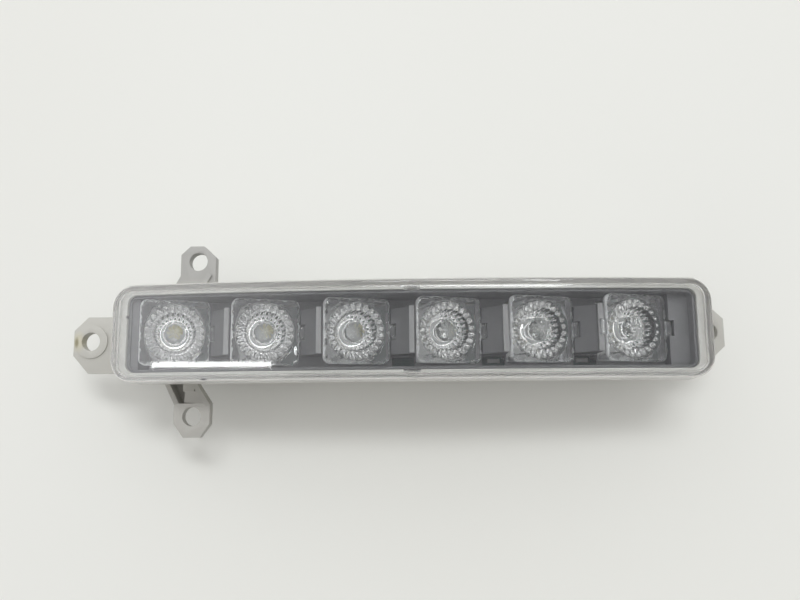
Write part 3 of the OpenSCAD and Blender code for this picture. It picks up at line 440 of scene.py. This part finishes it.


# Bezel. A dark-grey tray of satin polycarbonate that drops into the rim, with a ramp and an upright bar
# beside each collimator. The ramps are painted lighter than the tray's floor, and the bars' tops lighter
# again: painted light and painted highlight.
smoke, tree, shader = finish("bezel_plastic", (0.06, 0.06, 0.063), 0.4)
shader.inputs["Specular IOR Level"].default_value = 0.22
where = place(tree)
cloud = remap(tree, grain(tree, where, 60.0, 3.0), 0.35, 0.65)
colour = tint(tree, cloud, (0.130, 0.130, 0.133), (0.114, 0.114, 0.117))
axes = tree.nodes.new("ShaderNodeSeparateXYZ")
tree.links.new(where, axes.inputs[0])
blend = 0.0006
# Painted light: above each height and within each reach, the ramps and the bars' tops get a lighter colour.
ramp_painted_light = (0.0305, 0.095, 0.0104, (0.162, 0.162, 0.167))
bar_top_painted_light = (0.0382, 0.080, 0.0082, (0.27, 0.27, 0.272))
for level, reach_x, reach_y, shade in (ramp_painted_light, bar_top_painted_light):
    covered = remap(tree, axes.outputs["Z"], level, level + blend)
    for axis, reach in (("X", reach_x), ("Y", reach_y)):
        off = tree.nodes.new("ShaderNodeMath")
        off.operation = "ABSOLUTE"
        tree.links.new(axes.outputs[axis], off.inputs[0])
        within = tree.nodes.new("ShaderNodeMath")
        within.operation = "MULTIPLY"
        tree.links.new(remap(tree, off.outputs[0], reach, reach + blend, 1.0, 0.0), within.inputs[0])
        tree.links.new(covered, within.inputs[1])
        covered = within.outputs[0]
    colour = tint(tree, covered, colour, shade)
paint(tree, shader, colour)
tree.links.new(remap(tree, grain(tree, where, 260.0), 0.3, 0.7, 0.34, 0.48), shader.inputs["Roughness"])
relief(tree, shader, grain(tree, where, 2200.0), 0.1, 0.00005)
tray = rounded_copy("inner_bezel", "bezel_tray", 0.0002, smoke)
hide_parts("inner_bezel")
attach(tray, "root")


# Collimators. Six clear acrylic mouldings, each with a square front plate, a recess with a raised dome, a
# bowl cut into rows of pillow-shaped petals that catch the light, a hollow over the source and four legs
# that stand on its board.
acrylic, tree, shader = finish("clear_acrylic", (0.985, 0.99, 0.985), 0.03)
shader.inputs["Transmission Weight"].default_value = 1.0
shader.inputs["IOR"].default_value = 1.49
relief(tree, shader, grain(tree, place(tree), 420.0), 0.04, 0.0003)
edge_frost, tree, shader = finish("frosted_plate_edge", (0.93, 0.94, 0.945), 0.4)
shader.inputs["Transmission Weight"].default_value = 0.4
shader.inputs["IOR"].default_value = 1.49
relief(tree, shader, grain(tree, place(tree), 1800.0), 0.15, 0.0001)

lean, pitch = math.radians(20.0), 0.0304
row_x, row_y, plate_z = -0.0016, 0.0006, 0.03582
half_l, half_w, corner_r, plate_t = 0.01125, 0.0110, 0.0024, 0.002
front_round, back_round = 0.0008, 0.0003
dome_r, dome_rise, dome_step, recess_floor = 0.0039, 0.0019, 0.00008, -0.0026
recess_r, recess_mouth_r = 0.0064, 0.0073
petals, petal_points, row_points, petal_depth = 24, 12, 16, 0.00105
row_bounds = (0.0, 0.56, 0.84, 1.0)
bowl_top_r, bowl_foot_r, bowl_foot_z = 0.0099, 0.0042, -0.0123
hollow_mouth_r, hollow_r, hollow_wall, hollow_roof, roof_sag = 0.0026, 0.0025, 0.0036, 0.0046, 0.0009


def plate_edge(turn, grow):
    """Distance from the middle to a rounded rectangle at each angle: the nearer of its flat sides, or the arc
    of its corner where the ray passes between them. The rectangle is larger by grow on every side."""
    a, b = half_l + grow, half_w + grow
    r = np.maximum(corner_r + grow, 1e-4)
    c, s = np.abs(np.cos(turn)), np.abs(np.sin(turn))
    flat = np.minimum(a / np.maximum(c, 1e-9), b / np.maximum(s, 1e-9))
    corner_x, corner_y = a - r, b - r
    arc = c * corner_x + s * corner_y + np.sqrt(np.maximum(r * r - (c * corner_y - s * corner_x) ** 2, 0.0))
    return np.where((flat * c > corner_x) & (flat * s > corner_y), arc, flat)


def collimator():
    """The skin of one collimator as a grid [profile, angle]: radius and height along the profile from the
    dome's top, out over the plate, down the bowl and up into the hollow. On the bowl each petal bulges by the
    product of two sine humps, one round it and one down it, and each row is turned by half a petal."""
    steps = petals * petal_points
    turn = np.arange(steps) * 2 * np.pi / steps
    rings = []

    def ring(radius, height):
        """Adds one ring of the profile, its radius and height each one number or one for each angle."""
        rings.append(np.stack(np.broadcast_arrays(radius, height, turn)[:2], axis=-1))

    # The dome is a paraboloid with a faint ripple, and the recess opens out from its floor to the plate.
    for t in np.linspace(0.0, 1.0, 14):
        radius = dome_r * math.sin(t * math.pi / 2)
        ripple = 0.00006 * np.sin(9 * turn + 8 * t) + 0.00004 * np.sin(5 * turn - 11 * t)
        height = recess_floor + dome_rise * (1 - (radius / dome_r) ** 2) + dome_step
        ring(radius, height + ripple * math.sin(math.pi * t) ** 0.7)
    for t in np.linspace(0.12, 0.92, 5):
        ring(dome_r + (recess_r - dome_r) * t, recess_floor)
    for t in np.linspace(0.0, 1.0, 5):
        ring(recess_r + 0.0002 * t + 0.00035 * t * t, recess_floor + 0.0002 + 0.0023 * t)
    ring(recess_mouth_r, -0.00003)

    # The plate: its flat front, its wavy rounded front edge, its side and its rounded back edge.
    edge = plate_edge(turn, -front_round)
    for t in np.linspace(0.15, 1.0, 6):
        ring(recess_mouth_r + (edge - recess_mouth_r) * t, 0.0)
    wave = 0.00012 * np.sin(17 * turn + 1.3 * np.sin(3 * turn)) + 0.00008 * np.sin(41 * turn)
    for t in np.linspace(0.2, 1.0, 6):
        swing, swell = t * math.pi / 2, wave * math.sin(math.pi * t)
        ring(plate_edge(turn, front_round * (math.sin(swing) - 1) + swell),
             front_round * (math.cos(swing) - 1) + 0.6 * swell)
    ring(plate_edge(turn, 0.0), -0.6 * plate_t)
    for t in np.linspace(0.0, 1.0, 4):
        swing = t * math.pi / 2
        edge = plate_edge(turn, back_round * (math.cos(swing) - 1))
        ring(edge, back_round * (1 - math.sin(swing)) - plate_t)
    edge = plate_edge(turn, -back_round)
    for t in (0.35, 0.7):
        ring(edge + (bowl_top_r - edge) * t, -plate_t)

    # The bowl is a paraboloid under three rows of petals, which fade out at its top and its foot.
    for row, (row_top, row_foot) in enumerate(zip(row_bounds, row_bounds[1:])):
        last = row_foot == row_bounds[-1]
        humps = np.abs(np.sin(turn * petals / 2 + (row % 2) * np.pi / 2)) ** 0.8
        for v in np.arange(row_points + last) / row_points:
            t = row_top + (row_foot - row_top) * v
            bowl = math.sqrt(bowl_top_r ** 2 + (bowl_foot_r ** 2 - bowl_top_r ** 2) * t)
            hollow = 1 - humps * math.sin(math.pi * v) ** 0.7
            depth = petal_depth * (1 - 0.5 * t) * min(1.0, 6 * t, 8 * (1 - t))
            ring(bowl - depth * hollow, (bowl_foot_z + plate_t) * t - plate_t)

    # The foot, and the hollow over the source with a roof that sags to a lens.
    for radius in (0.0036, 0.0030):
        ring(radius, bowl_foot_z)
    for t in np.linspace(0.0, 1.0, 5):
        ring(hollow_mouth_r + (hollow_r - hollow_mouth_r) * t, bowl_foot_z + 0.0003 + hollow_wall * t)
    for t in np.linspace(0.1, 1.0, 8):
        radius = hollow_r * math.cos(t * math.pi / 2) if t < 1 else 0.0
        ring(radius, bowl_foot_z + hollow_roof - roof_sag * (1 - (radius / hollow_r) ** 2))
    grid = np.stack(rings)
    return np.stack([grid[..., 0] * np.cos(turn), grid[..., 0] * np.sin(turn), grid[..., 1]], axis=-1)


def rod(x, y, radius, foot, top):
    """A closed round rod: rings at both ends, with small rounded rims and a middle point at each end."""
    sides, rim = 24, 0.2 * radius
    turn = np.arange(sides) * 2 * np.pi / sides
    r = radius * np.array([0.0, 0.8, 1.0, 1.0, 0.8, 0.0])
    z = np.array([top, top, top - rim, foot + rim, foot, foot])
    across_x, across_y = x + r[:, None] * np.cos(turn), y + r[:, None] * np.sin(turn)
    return np.stack([across_x, across_y, np.broadcast_to(z[:, None], across_x.shape)], axis=-1)


def quads(v_n, u_n, start):
    """Faces of a grid that closes round u, with its points numbered from start."""
    index = start + np.arange(v_n * u_n).reshape(v_n, u_n)
    index = np.concatenate([index, index[:, :1]], axis=1)
    return np.stack([index[:-1, :-1], index[1:, :-1], index[1:, 1:], index[:-1, 1:]], axis=-1).reshape(-1, 4)


def block(start, end, y, z, half_y, half_z):
    """A small block between two places on the X axis, with its edges drawn in, as a closed grid round that
    axis: each ring is a circle swollen towards a rectangle by its eighth power."""
    sides = 24
    turn = (np.arange(sides) + 0.5) * 2 * np.pi / sides
    c, s = np.cos(turn), np.sin(turn)
    square = 1.0 / (c ** 8 + s ** 8) ** (1 / 8)
    size = np.array([0.0, 0.88, 1.0, 1.0, 0.88, 0.0])[:, None]
    x = start + (end - start) * np.array([0.0, 0.0, 0.08, 0.92, 1.0, 1.0])[:, None]
    across_y, across_z = y + half_y * size * square * c, z + half_z * size * square * s
    return np.stack([np.broadcast_to(x, across_y.shape), across_y, across_z], axis=-1)


def joined(grids):
    """The points and the faces of several closed grids as one list each."""
    sizes = [g.shape[0] * g.shape[1] for g in grids]
    starts = np.cumsum([0] + sizes[:-1])
    faces = [quads(*g.shape[:2], start) for g, start in zip(grids, starts)]
    return np.concatenate([g.reshape(-1, 3) for g in grids]), np.concatenate(faces)


def close_skin(mesh):
    """Merges the points that meet at seams and poles, and turns every face outwards."""
    skin = bmesh.new()
    skin.from_mesh(mesh)
    bmesh.ops.remove_doubles(skin, verts=skin.verts, dist=1e-7)
    bmesh.ops.recalc_face_normals(skin, faces=skin.faces)
    skin.to_mesh(mesh)
    skin.free()
    mesh.shade_smooth()


def face_places(mesh):
    """The middle and the normal of every face."""
    centre, normal = np.zeros(3 * len(mesh.polygons)), np.zeros(3 * len(mesh.polygons))
    mesh.polygons.foreach_get("center", centre)
    mesh.polygons.foreach_get("normal", normal)
    return centre.reshape(-1, 3), normal.reshape(-1, 3)


leg_x, leg_y, leg_r, leg_foot, leg_top = 0.005225, 0.0086, 0.00098, -0.01399, -0.00202
tab_sizes, tab_sunk, right_tab, left_tab = (0.0, -0.001, 0.0025, 0.00095), 0.0001, 0.002, 0.0014
grids = [collimator()]
for side_x in (-1, 1):
    for side_y in (-1, 1):
        grids.append(rod(side_x * leg_x, side_y * leg_y, leg_r, leg_foot, leg_top))
grids.append(block(half_l - tab_sunk, half_l + right_tab, *tab_sizes))
c, s = math.cos(lean), math.sin(lean)
for i in range(6):
    if i == 5:
        grids.append(block(-half_l - left_tab, -half_l + tab_sunk, *tab_sizes))
    seat = np.array([row_x + (i - 2.5) * pitch, row_y, plate_z])
    points, faces = joined(grids)
    x, y, z = points.T
    leaning = np.stack([x * c + z * s, y, z * c - x * s], axis=-1)
    lens = solid(f"collimator_{i + 1}", seat + leaning, faces, acrylic)
    close_skin(lens.data)
    lens.data.materials.append(edge_frost)
    centre, normal = face_places(lens.data)
    centre -= seat
    out = np.hypot(centre[:, 0] * c - centre[:, 2] * s, centre[:, 1])
    down = centre[:, 0] * s + centre[:, 2] * c
    steep = np.abs(normal[:, 0] * s + normal[:, 2] * c) < 0.8
    frosted_edge = (out > 0.0103) & (down < -0.0001) & steep
    lens.data.polygons.foreach_set("material_index", frosted_edge.astype(np.int32))
    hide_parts(f"optic_{i + 1}")
    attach(lens, "root")


# Outer lens. A cap of clear polycarbonate, bowed along its length, with a rounded front edge and a frosted
# wall that is welded to the housing's flange. Two small keys on its inside sit in notches of the rim, and a
# hair lies on its lower edge.
hard, tree, shader = finish("clear_polycarbonate", (0.97, 0.975, 0.975), 0.03)
shader.inputs["Transmission Weight"].default_value = 1.0
shader.inputs["IOR"].default_value = 1.55
where = place(tree)
hair = ((-0.0650, -0.0154, 0.045), (0.0017, 0.0004, 0.002), (0.01, 0.01, 0.01), 1.0)
paint(tree, shader, fleck(tree, where, (0.97, 0.975, 0.975), *hair))
relief(tree, shader, grain(tree, where, 45.0), 0.012, 0.0006)
frosted, tree, shader = finish("frosted_wall", (0.77, 0.76, 0.74), 0.42)
shader.inputs["Transmission Weight"].default_value = 0.66
shader.inputs["IOR"].default_value = 1.55
where = place(tree)
cloud = remap(tree, grain(tree, where, 60.0), 0.35, 0.65)
colour = tint(tree, cloud, (0.88, 0.87, 0.85), (0.83, 0.82, 0.80))
paint(tree, shader, fleck(tree, where, colour, *hair))

crown, wide_half, lens_t = 0.048018, 0.0163, 0.0022
wall_depth, wall_draft, edge_round, foot_round = 0.0085, 0.00035, 0.0011, 0.0003
wall_corner_r, front_corner_r = 0.0075, 0.0064
inner_corner_r, inner_draft, inner_round = 0.00425, 0.0001, 0.0003


def outline(half_x, half_y, r):
    """Points round a rounded rectangle, as many on each side and corner whatever its size."""
    corner_points, long_points, short_points = 14, 56, 10
    swing = np.linspace(0, np.pi / 2, corner_points, endpoint=False)
    x, y = half_x - r, half_y - r
    middles = np.array([(x, y), (-x, y), (-x, -y), (x, -y)])
    stretches = []
    for k, middle in enumerate(middles):
        turn = swing + k * np.pi / 2
        stretches.append(middle + r * np.stack([np.cos(turn), np.sin(turn)], axis=-1))
        turn = (k + 1) * np.pi / 2
        reach = r * np.array([np.cos(turn), np.sin(turn)])
        share = np.linspace(0, 1, (long_points, short_points)[k % 2], endpoint=False)[:, None]
        stretches.append(middle + reach + (middles[(k + 1) % 4] - middle) * share)
    return np.concatenate(stretches)


def bowed(half_x, half_y, r, drop):
    """One ring of the lens: its outline laid on the cylinder that lies drop below the bowed front."""
    xy = outline(half_x, half_y, r)
    z = crown - bow_r + np.sqrt((bow_r - drop) ** 2 - xy[:, 0] ** 2)
    return np.concatenate([xy, z[:, None]], axis=1)


in_l, in_w = long_half - lens_t, wide_half - lens_t
shares = (0.0, 0.2, 0.4, 0.6, 0.8, 0.93)
rings = []
flat_l, flat_w = in_l - inner_draft - inner_round, in_w - inner_draft - inner_round
for t in shares:
    rings.append(bowed(flat_l - (1 - t) * flat_w, flat_w * t, inner_corner_r * t, lens_t))
for swing in np.linspace(math.pi / 2, 0, 7):
    inset = inner_draft + inner_round * (1 - math.cos(swing))
    drop = lens_t + inner_round * (1 - math.sin(swing))
    rings.append(bowed(in_l - inset, in_w - inset, inner_corner_r - inset / 2, drop))
rings.append(bowed(in_l, in_w, inner_corner_r, wall_depth))
rings.append(bowed(long_half - foot_round, wide_half - foot_round, wall_corner_r - foot_round, wall_depth))
rings.append(bowed(long_half, wide_half, wall_corner_r, wall_depth - foot_round))
for swing in np.linspace(0, math.pi / 2, 11):
    inset = wall_draft + edge_round * (1 - math.cos(swing))
    drop = edge_round * (1 - math.sin(swing))
    rings.append(bowed(long_half - inset, wide_half - inset, wall_corner_r - inset / 2, drop))
flat_l, flat_w = long_half - wall_draft - edge_round, wide_half - wall_draft - edge_round
for t in reversed(shares):
    rings.append(bowed(flat_l - (1 - t) * flat_w, flat_w * t, front_corner_r * t, 0.0))

key_sizes, key_y, key_z = (0.00035, 0.002), in_w - 0.00037, crown - 0.0051
keys = [block(0.0, 0.003, side_y, key_z, *key_sizes) for side_y in (-key_y, key_y)]
cap = solid("lens_cap", *joined([np.stack(rings)] + keys), hard)
close_skin(cap.data)
cap.data.materials.append(frosted)
centre, normal = face_places(cap.data)
depth, facing_z = crown - bow_r + np.sqrt(bow_r ** 2 - centre[:, 0] ** 2) - centre[:, 2], normal[:, 2]
wall = np.abs(facing_z) < 0.3
foot = (facing_z < -0.3) & (depth > 0.006)
rounded = (facing_z >= 0.3) & (facing_z < 0.8) & (depth > 0.0002)
cap.data.polygons.foreach_set("material_index", (wall | foot | rounded).astype(np.int32))
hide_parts("outer_lens")
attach(cap, "root")
